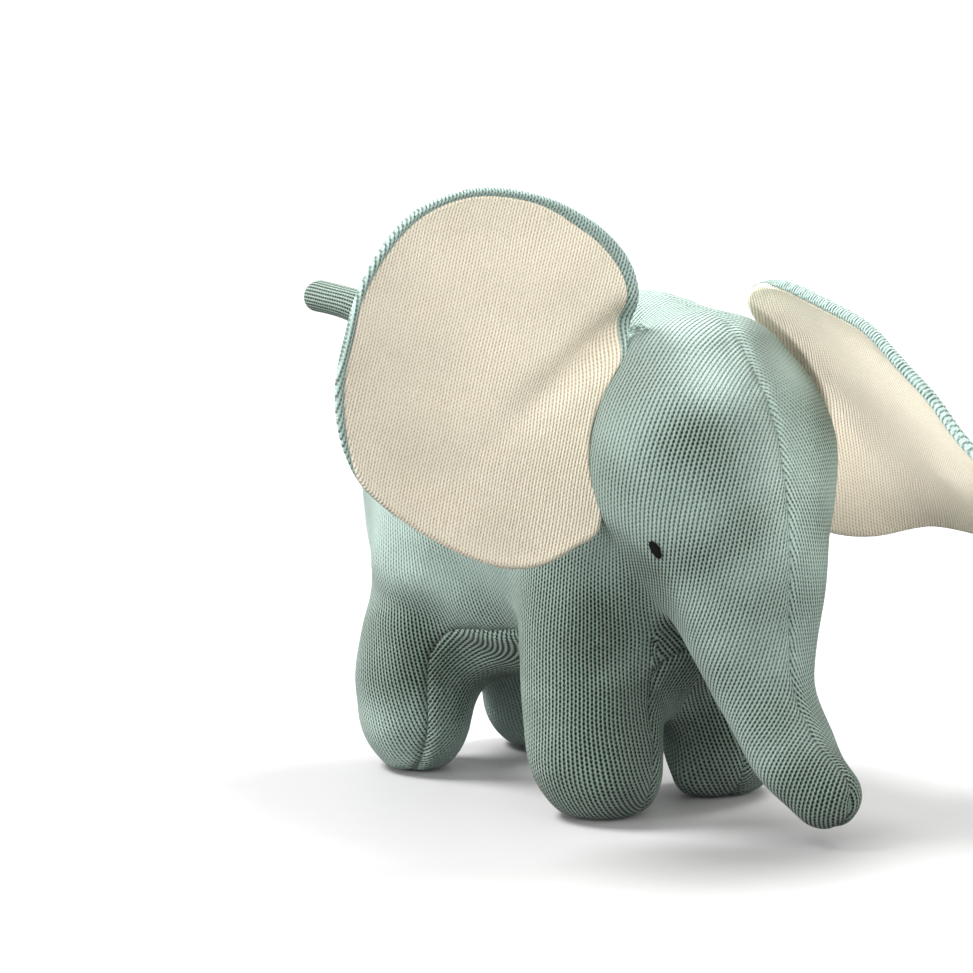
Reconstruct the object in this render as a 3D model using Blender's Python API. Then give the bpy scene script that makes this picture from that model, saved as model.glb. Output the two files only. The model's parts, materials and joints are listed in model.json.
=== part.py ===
"""Knitted stuffed elephant, built as its sewn pieces around their stuffing.

Dimensions are millimetres up to to_metres(). The elephant stands on z = 0, its trunk points to -Y,
and its left side is +X. Lengths called sideways and forward count from the middle of the feet:
X = SIDEWAYS_ZERO + sideways and Y = FORWARD_ZERO - forward.
"""
import math

import bmesh
import bpy
import numpy as np
from mathutils import Matrix, Vector

# ---------------------------------------------------------------- driving dimensions
SIDEWAYS_ZERO = 22.47      # X and Y of the middle of the feet, so that the whole object is centred
FORWARD_ZERO = 5.53
KNIT = 1.8                 # thickness of the knitted skin
GAP = 0.3                  # clearance between touching pieces
CELL = 14.0                # size of the body's facets

# stations along each limb: (forward, up, half width across, half depth)
TORSO = [(-60, 139, 41, 75), (-37, 127, 58, 83), (10, 143, 59, 78), (54, 160, 51, 71)]
HEAD_AND_TRUNK = [(90, 197, 46, 28), (95, 162, 64, 44), (108, 126, 48, 38), (119, 98, 38, 27),
                  (130, 63, 25.5, 18.5), (149, 36, 22, 15), (169, 21.5, 16.5, 15)]
CHEST = [(54, 104, 36, 34), (64, 76, 27, 28)]
# (sideways, forward, up, half width, half depth)
FRONT_LEG = [(31, 52, 121, 31, 38), (36, 54, 77, 31, 29.5), (39, 64, 28, 31, 28), (31, 67, 13, 22, 17)]
REAR_LEG = [(31, -52, 107, 26, 29), (35, -64, 56, 29, 29.5), (38, -65, 26.5, 25.5, 29.5)]
NECK_BLEND = 7
LEG_BLEND = 22

# belly gusset: (forward, half width, height where it turns in, height where it closes)
GUSSET = [(-165, 26, 60, 96), (-93, 36, 66, 104), (-41, 51, 69, 112), (7, 45, 70, 116),
          (40, 38, 62, 112), (70, 30, 66, 106), (88, 28, 62, 92), (99, 26, 30, 66)]

# ears: hinge line on the head (sideways, forward, up), and the flat outline (outward, up)
EAR_TOP = (38, 86, 221)
EAR_BOTTOM = (60, 88, 131)
RIGHT_EAR_OUTLINE = [(3, 8), (4, 18), (9, 28), (20, 36), (34, 42), (52, 46), (75, 46), (96, 41), (113, 29.5),
                     (124.5, 13.5), (131, -7), (133, -28), (132, -48), (126, -68), (114, -86), (98, -97),
                     (77, -106), (56, -112), (38, -114), (22, -110), (9, -100), (0, -91), (1, -72),
                     (2, -50), (2, -28), (0, -10)]
LEFT_EAR_OUTLINE = [(1, 8), (1, 16), (7, 24), (19, 30), (34, 35.5), (52, 40.5), (75, 44), (96, 40), (113, 29.5),
                    (124.5, 13.5), (131, -7), (133, -28), (132, -48), (127, -70), (116, -90), (99, -104),
                    (77, -113), (56, -117), (38, -115.5), (22, -110), (9, -100), (0, -91), (1, -72),
                    (2, -50), (2, -28), (0, -10)]
EAR_MIDDLE = (64, -34)
EAR_LAYER = 1.8            # thickness of each knitted layer
EAR_RIM = 3.6              # width of the rolled edge around the front layer
EAR_CLEAR = 2.0            # gap from the ear to the head at the ends of the hinge line
EAR_RINGS = (0.3, 0.55, 0.78)  # where the rings of facets lie, as shares of the way out
# sweep back, droop, fold line height, fold line slope, then (distance past the fold, bend) pairs
RIGHT_EAR_POSE = (25.0, 0.0, 0.0, -60.0,
                  [(-200, 0), (-30, 0), (0, 6), (60, 14), (140, 20), (200, 20)])
LEFT_EAR_POSE = (-18.0, 3.0, -8.0, -62.0,
                 [(-200, 30), (-60, 20), (-12, 0), (12, 69), (40, 87), (80, 88), (110, 105), (200, 105)])

EYE = (50.2, 113.9, 126.8)  # centre of the right eye (sideways, forward, up)
EYE_LONG = 9.6
EYE_WIDE = 5.6
EYE_THICK = 1.1

TAIL_ROOT = (-111.0, 198.0)  # forward, up, on the rump
TAIL_TIP = (-193.0, 212.0)
TAIL_START = 2.6             # from the hinge to the open end of the tail
TAIL_RADII = [(0.0, 4.2), (5.0, 7.2), (14.0, 8.8), (34.0, 8.6), (54.0, 8.0), (70.0, 7.4), (77.0, 5.6)]


def metres(sideways, forward, up):
    return Vector((SIDEWAYS_ZERO + sideways, FORWARD_ZERO - forward, up)) * 0.001


# ---------------------------------------------------------------- smooth body surface
def spline(stations, count):
    """Even samples on the smooth curve through the stations."""
    p = np.asarray(stations, float)
    q = np.vstack([2 * p[0] - p[1], p, 2 * p[-1] - p[-2]])
    samples = []
    for u in np.linspace(0, len(p) - 1, count):
        i = min(int(u), len(p) - 2)
        t = u - i
        a, b, c, d = q[i:i + 4]
        samples.append(b + 0.5 * t * (c - a + t * (2 * a - 5 * b + 4 * c - d + t * (3 * b - a - 3 * c + d))))
    return np.array(samples)


def limb(stations, count, side=0):
    """Ellipsoids (sideways, forward, up, half width, half depth) along one limb."""
    if side:
        stations = [(side * s[0],) + tuple(s[1:]) for s in stations]
    else:
        stations = [(0,) + tuple(s) for s in stations]
    return spline(stations, count)


LIMBS = {"torso": limb(TORSO, 40), "head": limb(HEAD_AND_TRUNK, 90), "chest": limb(CHEST, 12)}
for side in (-1, 1):
    LIMBS["front", side] = limb(FRONT_LEG, 34, side)
    LIMBS["rear", side] = limb(REAR_LEG, 34, side)


def limb_distance(points, samples):
    best = np.full(len(points), 1e9)
    for x, f, z, a, b in samples:
        across = ((points[:, 0] - x) / a) ** 2
        along = ((points[:, 1] - f) ** 2 + (points[:, 2] - z) ** 2) / b ** 2
        best = np.minimum(best, b * (np.sqrt(across + along) - 1))
    return best


def soft_min(a, b, k):
    h = np.clip(0.5 + 0.5 * (b - a) / k, 0, 1)
    return b * (1 - h) + a * h - k * h * (1 - h)


def body_distance(points):
    """Signed distance, roughly, from the knitted surface: negative inside."""
    d = soft_min(limb_distance(points, LIMBS["torso"]), limb_distance(points, LIMBS["chest"]), LEG_BLEND)
    for key, samples in LIMBS.items():
        if isinstance(key, tuple):
            d = soft_min(d, limb_distance(points, samples), LEG_BLEND)
    return soft_min(d, limb_distance(points, LIMBS["head"]), NECK_BLEND)


def body_gradient(points):
    g = np.zeros_like(points)
    for k in range(3):
        step = np.zeros(3)
        step[k] = 0.5
        g[:, k] = body_distance(points + step) - body_distance(points - step)
    return g


def onto_body(points, rounds=5):
    for _ in range(rounds):
        g = body_gradient(points)
        size = (g ** 2).sum(1, keepdims=True)
        points = points - g * body_distance(points)[:, None] / np.maximum(size, 1e-3)
    return points


# ---------------------------------------------------------------- small mesh helpers
def new_object(name, bm):
    mesh = bpy.data.meshes.new(name)
    bm.to_mesh(mesh)
    bm.free()
    obj = bpy.data.objects.new(name, mesh)
    bpy.context.scene.collection.objects.link(obj)
    return obj


def object_from(name, verts, faces, outward=True):
    bm = bmesh.new()
    made = [bm.verts.new(v) for v in verts]
    for face in faces:
        bm.faces.new([made[i] for i in face])
    if outward:
        bmesh.ops.recalc_face_normals(bm, faces=bm.faces)
    return new_object(name, bm)


def apply_modifier(obj, kind, **settings):
    modifier = obj.modifiers.new(kind, kind)
    for key, value in settings.items():
        setattr(modifier, key, value)
    bpy.context.view_layer.update()
    evaluated = obj.evaluated_get(bpy.context.evaluated_depsgraph_get())
    mesh = bpy.data.meshes.new_from_object(evaluated)
    obj.modifiers.clear()
    obj.data = mesh


def cut(obj, cutter, operation):
    apply_modifier(obj, "BOOLEAN", object=cutter, operation=operation, solver="EXACT")


def coords(obj):
    flat = np.empty(len(obj.data.vertices) * 3)
    obj.data.vertices.foreach_get("co", flat)
    return flat.reshape(-1, 3)


def set_coords(obj, points):
    obj.data.vertices.foreach_set("co", points.ravel())
    obj.data.update()


def copy_of(obj, name):
    twin = bpy.data.objects.new(name, obj.data.copy())
    bpy.context.scene.collection.objects.link(twin)
    return twin


def discard(*objects):
    for obj in objects:
        bpy.data.objects.remove(obj)


def flat_bottom(obj, height):
    """Cut the four feet off flat at this height and close them."""
    bm = bmesh.new()
    bm.from_mesh(obj.data)
    geometry = bm.verts[:] + bm.edges[:] + bm.faces[:]
    bmesh.ops.bisect_plane(bm, geom=geometry, plane_co=(0, 0, height), plane_no=(0, 0, -1), clear_outer=True)
    bmesh.ops.holes_fill(bm, edges=[e for e in bm.edges if e.is_boundary], sides=0)
    bmesh.ops.triangulate(bm, faces=[f for f in bm.faces if len(f.verts) > 4])
    bmesh.ops.recalc_face_normals(bm, faces=bm.faces)
    bm.to_mesh(obj.data)
    bm.free()


def side_by_side(obj, other, name):
    """One mesh holding both surfaces, the second facing inward."""
    bm = bmesh.new()
    bm.from_mesh(other.data)
    bmesh.ops.reverse_faces(bm, faces=bm.faces)
    bm.from_mesh(obj.data)
    return new_object(name, bm)


def box(name, low, high):
    bm = bmesh.new()
    bmesh.ops.create_cube(bm, size=1)
    for v in bm.verts:
        v.co = Vector([low[k] if v.co[k] < 0 else high[k] for k in range(3)])
    return new_object(name, bm)


# ---------------------------------------------------------------- body pieces
def body_blank():
    """The whole outer surface as one even mesh."""
    bm = bmesh.new()
    for samples in LIMBS.values():
        for x, f, z, a, b in samples:
            place = Matrix.Translation((x, f, z)) @ Matrix.Diagonal((a, b, b, 1))
            bmesh.ops.create_icosphere(bm, subdivisions=2, radius=1, matrix=place)
    blank = new_object("blank", bm)
    for cell in (5.0, CELL):
        apply_modifier(blank, "REMESH", mode="VOXEL", voxel_size=cell, adaptivity=0)
        set_coords(blank, onto_body(coords(blank)))
    apply_modifier(blank, "SMOOTH", factor=0.5, iterations=2)
    bm = bmesh.new()
    bm.from_mesh(blank.data)
    trunk = [e for e in bm.edges if all(v.co.y > 112 and v.co.z < 92 for v in e.verts)]
    bmesh.ops.subdivide_edges(bm, edges=trunk, cuts=1, use_grid_fill=True)
    bmesh.ops.triangulate(bm, faces=bm.faces, quad_method="SHORT_EDGE")
    bm.to_mesh(blank.data)
    bm.free()
    set_coords(blank, onto_body(coords(blank)))
    return blank


def inset_copy(blank, name, depth):
    """The blank's surface moved inward by the depth, with its soles cut flat."""
    twin = copy_of(blank, name)
    normals = np.array([v.normal[:] for v in twin.data.vertices])
    set_coords(twin, coords(twin) - normals * depth)
    flat_bottom(twin, depth)
    return twin


def gusset_cutter(name, grow):
    """A tapered block whose sides are the gusset's seams."""
    verts, faces = [], []
    for i, (f, half, turn, close) in enumerate(GUSSET):
        f += grow * (-1 if i == 0 else 1 if i == len(GUSSET) - 1 else 0)
        ring = [(-half - grow, -20), (half + grow, -20), (half + grow, turn), (0, close + grow),
                (-half - grow, turn)]
        verts += [(x, f, z) for x, z in ring]
    for i in range(len(GUSSET) - 1):
        for j in range(5):
            a, b = 5 * i + j, 5 * i + (j + 1) % 5
            faces += [(a, b, b + 5), (a, b + 5, a + 5)]
    last = 5 * len(GUSSET) - 5
    faces += [tuple(range(5)), tuple(range(last, last + 5))]
    return object_from(name, verts, faces)


def body_pieces():
    blank = body_blank()
    outer = inset_copy(blank, "outer", 0.0)
    inner = inset_copy(blank, "inner", KNIT)
    shell = side_by_side(outer, inner, "shell")
    pieces = {"body_stuffing": inset_copy(blank, "body_stuffing", KNIT + GAP)}
    apart = gusset_cutter("apart", GAP / 2)
    within = gusset_cutter("within", -GAP / 2)
    for name, low, high in (("side_panel_right", -300, -GAP / 2), ("side_panel_left", GAP / 2, 300)):
        half = box("half", (low, -300, -50), (high, 300, 400))
        panel = copy_of(shell, name)
        cut(panel, half, "INTERSECT")
        cut(panel, apart, "DIFFERENCE")
        discard(half)
        pieces[name] = panel
    gusset = copy_of(shell, "belly_gusset")
    cut(gusset, within, "INTERSECT")
    pieces["belly_gusset"] = gusset
    discard(blank, outer, inner, shell, apart, within)
    return pieces


# ---------------------------------------------------------------- eyes
def eye(name, side):
    """A satin-stitched oval standing just proud of the knit."""
    centre = onto_body(np.array([[side * EYE[0], EYE[1], EYE[2]]]))
    normal = Vector(body_gradient(centre)[0]).normalized()
    centre = Vector(centre[0])
    long_way = Vector((side * 0.1, -0.3, 1.0))
    long_way = (long_way - normal * long_way.dot(normal)).normalized()
    wide_way = normal.cross(long_way)
    verts, faces = [], []
    for scale, lift in ((1.0, 0.35), (1.0, 0.75), (0.62, 0.35 + EYE_THICK)):
        for k in range(16):
            angle = 2 * math.pi * k / 16
            verts.append(centre + normal * lift + long_way * (math.cos(angle) * EYE_LONG / 2 * scale)
                         + wide_way * (math.sin(angle) * EYE_WIDE / 2 * scale))
    for row in (0, 16):
        faces += [(row + k, row + (k + 1) % 16, row + 16 + (k + 1) % 16, row + 16 + k) for k in range(16)]
    faces += [tuple(range(16)), tuple(range(32, 48))]
    return object_from(name, verts, faces)


# ---------------------------------------------------------------- ears
def ear_mapper(side, pose):
    """Function from flat ear (outward, up, lift) to a place in space."""
    sweep, droop, fold_height, fold_slope, bends = pose
    top = Vector((side * EAR_TOP[0], EAR_TOP[1], EAR_TOP[2]))
    bottom = Vector((side * EAR_BOTTOM[0], EAR_BOTTOM[1], EAR_BOTTOM[2]))
    up = (top - bottom).normalized()
    out = Vector((side * math.cos(math.radians(sweep)), -math.sin(math.radians(sweep)), 0))
    out = (out - up * out.dot(up)).normalized()
    front = out.cross(up) * side * -1
    c, s = math.cos(math.radians(droop)), math.sin(math.radians(droop))
    along = np.array([math.cos(math.radians(fold_slope)), math.sin(math.radians(fold_slope))])
    over = np.array([-along[1], along[0]])
    table = np.linspace(-200, 200, 1601)
    bend = np.radians(np.interp(table, [b[0] for b in bends], [b[1] for b in bends]))
    step = table[1] - table[0]
    flat_run = np.concatenate([[0], np.cumsum(np.cos(bend[1:]) * step)])
    raised = np.concatenate([[0], np.cumsum(np.sin(bend[1:]) * step)])
    flat_run -= np.interp(0, table, flat_run)
    raised -= np.interp(0, table, raised)

    def place(outward, upward, lift):
        point = np.array([outward * c + upward * s, -outward * s + upward * c - fold_height])
        distance = point @ over
        angle = np.interp(distance, table, bend)
        run = np.interp(distance, table, flat_run) - math.sin(angle) * lift
        depth = np.interp(distance, table, raised) + math.cos(angle) * lift
        flat = along * (point @ along) + over * run + np.array([0, fold_height])
        return top + out * flat[0] + up * flat[1] + front * depth

    return place


def smooth_loop(points, per_side):
    p = np.asarray(points, float)
    n = len(p)
    loop = []
    for i in range(n):
        a, b, c, d = p[i - 1], p[i], p[(i + 1) % n], p[(i + 2) % n]
        for t in np.arange(per_side) / per_side:
            loop.append(b + 0.5 * t * (c - a + t * (2 * a - 5 * b + 4 * c - d + t * (3 * b - a - 3 * c + d))))
    return np.array(loop)


def ear_outline(place, outline):
    """The flat outline, with its root edge kept clear of the head."""
    loop = smooth_loop(outline, 2)
    n = len(loop)
    need = np.zeros(n)
    for i, point in enumerate(loop):
        if point[0] > 45:
            continue
        room = EAR_CLEAR + 2.4 * math.sin(math.pi * min(max(-point[1] / 92, 0), 1))
        for _ in range(80):
            reach = [place(point[0] + need[i], point[1], lift)[:] for lift in (-EAR_LAYER, 0, EAR_LAYER + GAP)]
            if body_distance(np.array(reach)).min() > room:
                break
            need[i] += 0.4
    widest = [max(need[i - 1], need[i], need[(i + 1) % n]) for i in range(n)]
    for i in range(n):
        loop[i][0] += (widest[i - 1] + widest[i] + widest[(i + 1) % n]) / 3
    return loop


def ear_plate(name, place, loop, rings):
    """Closed plate from rings of (inset from the outline or share of the way out, lift)."""
    middle = np.array(EAR_MIDDLE, float)
    reach = loop - middle
    length = np.linalg.norm(reach, axis=1, keepdims=True)
    n = len(loop)
    verts, faces = [], []
    for inset, share, lift in rings:
        ring = middle + reach * (share if inset is None else (length - inset) / length)
        verts += [place(p[0], p[1], lift) for p in ring]
    for row in range(len(rings) - 1):
        for k in range(n):
            a, b = row * n + k, row * n + (k + 1) % n
            outward_row = rings[row][1] is not None and rings[row][2] == rings[0][2]
            faces += [(a, b, b + n), (a, b + n, a + n)] if outward_row else [(a, b, a + n), (b, b + n, a + n)]
    first, last = len(verts), len(verts) + 1
    verts += [place(*middle, rings[0][2]), place(*middle, rings[-1][2])]
    end = (len(rings) - 1) * n
    for k in range(n):
        faces += [(first, (k + 1) % n, k), (last, end + k, end + (k + 1) % n)]
    return object_from(name, verts, faces)


def ear(side, pose, outline, label):
    place = ear_mapper(side, pose)
    loop = ear_outline(place, outline)
    inner_rings = [(None, share) for share in EAR_RINGS]
    top = EAR_LAYER + GAP
    back = [(i, s, -EAR_LAYER) for i, s in inner_rings]
    back += [(1.0, None, -EAR_LAYER), (0.0, None, 0.2), (1.0, None, top), (EAR_RIM - 0.4, None, top),
             (EAR_RIM - 0.4, None, 0.0)]
    back += [(i, s, 0.0) for i, s in reversed(inner_rings)]
    front = [(i, s, GAP) for i, s in inner_rings]
    front += [(EAR_RIM, None, GAP), (EAR_RIM, None, top)]
    front += [(i, s, top) for i, s in reversed(inner_rings)]
    return {"ear_%s_back" % label: ear_plate("ear_%s_back" % label, place, loop, back),
            "ear_%s_front" % label: ear_plate("ear_%s_front" % label, place, loop, front)}


# ---------------------------------------------------------------- tail
def tail():
    root = Vector((0, TAIL_ROOT[0], TAIL_ROOT[1]))
    tip = Vector((0, TAIL_TIP[0], TAIL_TIP[1]))
    along = (tip - root).normalized()
    up = Vector((1, 0, 0)).cross(along)
    length = (tip - root).length
    sides = 14

    def ring(distance, radius):
        centre = root + along * distance + up * (3.0 * math.sin(math.pi * distance / length))
        return [centre + Vector((1, 0, 0)) * (radius * math.cos(2 * math.pi * k / sides))
                + up * (radius * math.sin(2 * math.pi * k / sides)) for k in range(sides)]

    def tube(name, stations):
        verts, faces = [], []
        for distance, radius in stations:
            verts += ring(distance, radius)
        for row in range(len(stations) - 1):
            faces += [(row * sides + k, row * sides + (k + 1) % sides, (row + 1) * sides + (k + 1) % sides,
                       (row + 1) * sides + k) for k in range(sides)]
        return verts, faces

    outside = [(TAIL_START + d, r) for d, r in TAIL_RADII] + [(length - 0.3, 2.6)]
    inside = [(d + (0 if i == 0 else -0.6 if d > 70 else 0), r - KNIT) for i, (d, r) in enumerate(outside[:-1])]
    inside += [(length - 0.6 - KNIT, 1.6)]
    verts, faces = tube("tail_skin", outside + inside[::-1])
    count = len(outside) * sides
    # the tip is two end caps, one outside and one inside, instead of a joining strip
    faces = [f for f in faces if not (min(f) < count <= max(f))]
    faces += [tuple(range(count - sides, count)), tuple(range(count, count + sides))]
    faces += [(k, (k + 1) % sides, 2 * count - sides + (k + 1) % sides, 2 * count - sides + k)
              for k in range(sides)]
    skin = object_from("tail_skin", verts, faces)
    core = [(d + (0.4 if i == 0 else -0.5 if i == len(inside) - 1 else 0), r - GAP)
            for i, (d, r) in enumerate(inside)]
    verts, faces = tube("tail_stuffing", core)
    count = len(core) * sides
    faces += [tuple(range(sides)), tuple(range(count - sides, count))]
    return {"tail_skin": skin, "tail_stuffing": object_from("tail_stuffing", verts, faces)}


# ---------------------------------------------------------------- finish
COLOURS = {
    "sage_knit": ((0.36, 0.50, 0.44), 0.95),
    "sage_knit_gusset": ((0.33, 0.47, 0.41), 0.95),
    "sage_knit_ear": ((0.38, 0.52, 0.46), 0.95),
    "sage_knit_tail": ((0.36, 0.49, 0.43), 0.95),
    "cream_knit": ((0.83, 0.77, 0.64), 0.95),
    "black_thread": ((0.02, 0.02, 0.02), 0.5),
    "stuffing": ((0.92, 0.92, 0.90), 1.0),
}
MATERIAL_OF = {
    "side_panel_right": "sage_knit", "side_panel_left": "sage_knit", "belly_gusset": "sage_knit_gusset",
    "ear_right_back": "sage_knit_ear", "ear_left_back": "sage_knit_ear", "tail_skin": "sage_knit_tail",
    "ear_right_front": "cream_knit", "ear_left_front": "cream_knit", "eye_right": "black_thread",
    "eye_left": "black_thread", "body_stuffing": "stuffing", "tail_stuffing": "stuffing",
}


def material_for(node):
    """Each piece has a material of its own, coloured by what it is made of."""
    colour, roughness = COLOURS[MATERIAL_OF[node]]
    material = bpy.data.materials.new(node)
    material.use_nodes = True
    shader = material.node_tree.nodes["Principled BSDF"]
    shader.inputs["Base Color"].default_value = colour + (1,)
    shader.inputs["Roughness"].default_value = roughness
    return material


def to_metres(obj, pivot):
    """Scale the mesh to metres and put the object's origin on its joint."""
    points = coords(obj)
    points = np.stack([SIDEWAYS_ZERO + points[:, 0], FORWARD_ZERO - points[:, 1], points[:, 2]], 1) * 0.001
    set_coords(obj, points - np.array(pivot))
    obj.data.flip_normals()
    obj.location = pivot
    obj.data.shade_smooth()
    obj.data.materials.clear()
    obj.data.materials.append(material_for(obj.name))


def build():
    for obj in list(bpy.data.objects):
        bpy.data.objects.remove(obj)
    pieces = body_pieces()
    pieces["eye_right"] = eye("eye_right", -1)
    pieces["eye_left"] = eye("eye_left", 1)
    pieces.update(ear(-1, RIGHT_EAR_POSE, RIGHT_EAR_OUTLINE, "right"))
    pieces.update(ear(1, LEFT_EAR_POSE, LEFT_EAR_OUTLINE, "left"))
    pieces.update(tail())
    for name, obj in pieces.items():
        obj.name = name
        pivot = Vector((0, 0, 0))
        if name.startswith("ear_"):
            side = -1 if "right" in name else 1
            pivot = metres(side * EAR_BOTTOM[0], EAR_BOTTOM[1], EAR_BOTTOM[2])
        if name.startswith("tail_"):
            pivot = metres(0, *TAIL_ROOT)
        to_metres(obj, pivot)


build()
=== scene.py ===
"""Looks of the knitted stuffed elephant: its sewn knit panels, ears, tail and stitched eyes.

Shapes are worked out in millimetres as (sideways, forward, up) from the middle of the feet, and
turned into the row's metres by rows(). The elephant's left side is +X and its trunk points to -Y.
"""
import json
import math

import bmesh
import bpy
import numpy as np
from mathutils import Matrix, Vector
from mathutils.kdtree import KDTree


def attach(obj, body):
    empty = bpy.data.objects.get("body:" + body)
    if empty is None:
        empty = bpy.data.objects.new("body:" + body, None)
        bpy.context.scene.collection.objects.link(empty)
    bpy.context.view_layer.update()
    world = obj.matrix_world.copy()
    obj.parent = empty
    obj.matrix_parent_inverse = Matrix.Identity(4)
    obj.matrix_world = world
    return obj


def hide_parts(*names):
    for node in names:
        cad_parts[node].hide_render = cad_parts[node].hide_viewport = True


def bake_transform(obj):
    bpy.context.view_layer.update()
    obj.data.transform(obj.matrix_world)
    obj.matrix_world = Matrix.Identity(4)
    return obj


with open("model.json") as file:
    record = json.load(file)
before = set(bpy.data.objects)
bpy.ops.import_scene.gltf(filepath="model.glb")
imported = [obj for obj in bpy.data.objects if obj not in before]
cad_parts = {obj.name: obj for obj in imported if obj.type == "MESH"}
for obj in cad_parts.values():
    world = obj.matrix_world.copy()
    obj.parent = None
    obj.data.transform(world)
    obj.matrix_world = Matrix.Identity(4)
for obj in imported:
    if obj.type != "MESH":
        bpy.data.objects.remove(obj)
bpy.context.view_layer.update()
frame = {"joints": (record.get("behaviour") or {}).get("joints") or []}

# ---------------------------------------------------------------- where things are
JOINTS = {joint["name"]: joint for joint in frame["joints"]}
TAIL_ROOT = (-111.0, 198.0)          # forward, up
TAIL_TIP = (-193.0, 212.0)
SIDEWAYS_ZERO = JOINTS["tail_wag"]["pos_m"][0] * 1000
FORWARD_ZERO = JOINTS["tail_wag"]["pos_m"][1] * 1000 + TAIL_ROOT[0]

# stations along each limb: (forward, up, half width across, half depth)
TORSO = [(-60, 139, 41, 75), (-37, 127, 58, 83), (10, 143, 59, 78), (54, 160, 51, 71)]
HEAD_AND_TRUNK = [(90, 197, 46, 28), (95, 162, 64, 44), (108, 126, 48, 38), (119, 98, 38, 27),
                  (130, 63, 25.5, 18.5), (149, 36, 22, 15), (169, 21.5, 16.5, 15)]
CHEST = [(54, 104, 36, 34), (64, 76, 27, 28)]
# (sideways, forward, up, half width, half depth)
FRONT_LEG = [(31, 52, 121, 31, 38), (36, 54, 77, 31, 29.5), (39, 64, 28, 31, 28), (31, 67, 13, 22, 17)]
REAR_LEG = [(31, -52, 107, 26, 29), (35, -64, 56, 29, 29.5), (38, -65, 26.5, 25.5, 29.5)]
NECK_BLEND = 7
LEG_BLEND = 22
# belly gusset: (forward, half width, height where it turns in, height where it closes)
GUSSET = np.array([(-165, 26, 60, 96), (-93, 36, 66, 104), (-41, 51, 69, 112), (7, 45, 70, 116),
                   (40, 38, 62, 112), (70, 30, 66, 106), (88, 28, 62, 92), (99, 26, 30, 66)], float)
# ends of the left ear's hinge: (sideways, forward, up)
EAR_TOP = (38, 86, 221)
EAR_BOTTOM = (60, 88, 131)
# flat ears as (outward, up) from the hinge's top. Both share their outer edge and their root
EAR_OUTER = [(113, 29.5), (124.5, 13.5), (131, -7), (133, -28), (132, -48)]
EAR_ROOT = [(22, -110), (9, -100), (0, -91), (1, -72), (2, -50), (2, -28), (0, -10)]
RIGHT_EAR_OUTLINE = ([(-1, 6), (2, 18), (9, 28), (20, 36), (34, 42), (52, 46), (75, 46), (96, 41)]
                     + EAR_OUTER
                     + [(126, -68), (114, -86), (98, -97), (77, -106), (56, -112), (38, -114)]
                     + EAR_ROOT)
LEFT_EAR_OUTLINE = ([(-5, 5), (-3, 15), (7, 24), (19, 30), (34, 35.5), (52, 40.5), (75, 44), (96, 40)]
                    + EAR_OUTER
                    + [(127, -70), (116, -90), (99, -104), (77, -113), (56, -117), (38, -115.5)]
                    + EAR_ROOT)
EAR_MIDDLE = np.array([64.0, -34.0])
# (sweep back, droop, height and slope of the fold, (distance across the fold, bend) pairs)
RIGHT_EAR_POSE = (25.0, 0.0, 0.0, -60.0,
                  [(-200, 0), (-30, 0), (0, 6), (60, 14), (140, 20), (200, 20)])
LEFT_EAR_POSE = (-18.0, 3.0, -8.0, -62.0,
                 [(-200, 30), (-60, 20), (-12, 0), (12, 69), (40, 87), (80, 88), (110, 105), (200, 105)])
EYE = (50.2, 113.9, 126.8)           # the left one
EYE_HALF = (4.3, 1.95)               # along and across the oval
EYE_THREADS = 15
EYE_THREAD_RADIUS = 0.36
END_RADIUS = 0.65                    # of a loose end of yarn
THREAD_SIDES = 7
TAIL_COLUMNS = 14                    # columns of stitches round the tail
TAIL_SIDES = 40
TAIL_TIP_ROUND = 7.5                 # length of the tip's rounding
TAIL_ARCH = 3.0                      # how far the tail arches up midway
TAIL_OPEN_AND_SHADE = 0.85                     # how open its knit is, and painted shade that darkens the tail
ROOT_RINGS = 4                       # rings that lead the tail's knit into the rump
# tail radius by distance from its root
TAIL_SHAPE = [(-4, 9.5), (0, 7.6), (4, 7.4), (12, 8.7), (34, 8.7), (54, 8.1), (70, 7.7), (90, 7.7)]
# soft creases of the stuffed body: ((sideways, forward, up) points, lift, reach)
BODY_CREASES = [([(60, -78, 84), (58, -46, 80), (46, -27, 68), (37, -22, 57)], -2.4, 7.5),
                ([(60, -70, 102), (58, -38, 95), (50, -18, 86), (38, -3, 72)], 1.3, 9.0),
                ([(52, 96, 128), (45, 105, 108), (37, 112, 90)], -1.2, 7.0)]
GUSSET_COLUMNS = (-0.5, 0.0, 1.0)    # the way they run on the left half
FILL_DEPTH = 4.0                     # from the knit's surface to the stuffing's
FILL_LUMPS = 0.35                    # height of the stuffing's lumps
TAIL_FILL_DEPTH = 2.6

SAGE_WALE = 3.7                      # width of a column of the body's stitches
STRETCHED_AND_SHADED_YARN = (112, 138, 115)     # where the knit is stretched thin, and painted shade on the legs and low parts
PANEL_CELL = 4.8                     # size of the quads that the panels are cut from
SETTLE_ROUNDS = 1600                 # of letting a flattened panel relax
GUSSET_ROUND = 8.0                   # softness of the gusset's corners
SEAM_DEPTH = 0.95
HEM = 2.2                            # how far the cut edges turn in
OPEN_SLACK = 0.3                     # how open the knit is away from the places below
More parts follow.
